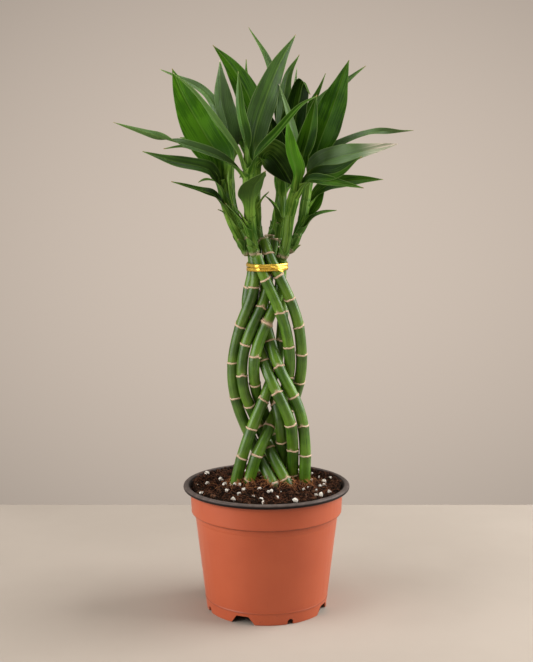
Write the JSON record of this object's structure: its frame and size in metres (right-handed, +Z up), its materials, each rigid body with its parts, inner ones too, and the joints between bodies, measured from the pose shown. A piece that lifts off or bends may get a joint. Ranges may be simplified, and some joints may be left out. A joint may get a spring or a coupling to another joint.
{
  "type": "braided lucky bamboo in a nursery pot",
  "caption": "Braided green canes tied near the top, with a crown of pointed leafy shoots, growing in a terracotta-coloured plastic nursery pot of dark soil.",
  "frame": {"origin": "on the pot's axis at the surface it stands on, below the middle of the plant's box", "axes": "+Z up along the pot's axis; -Y is the front that the braid faces; +X to the right seen from the front"},
  "size_m": [0.2842, 0.1684, 0.5793],
  "materials": {
    "terracotta_plastic": "moulded satin plastic with a dark rolled rim",
    "potting_soil": "loose dark fibrous peat with white grains",
    "cane": "smooth waxy green cane with pale node rings",
    "leaf": "glossy green blade with fine lengthwise veins",
    "gold_foil": "shiny metallised gold film"
  },
  "bodies": {
    "root": {"pot": "terracotta_plastic", "soil": "potting_soil", "cane_1": "cane", "cane_2": "cane", "cane_3": "cane", "cane_4": "cane", "cane_5": "cane", "cane_6": "cane", "cane_7": "cane", "cane_8": "cane", "cane_9": "cane", "tie": "gold_foil", "shoot_1": "leaf", "shoot_2": "leaf", "shoot_3": "leaf", "shoot_4": "leaf", "shoot_5": "leaf", "shoot_6": "leaf", "shoot_7": "leaf", "shoot_8": "leaf", "shoot_9": "leaf"}
  },
  "joints": []
}
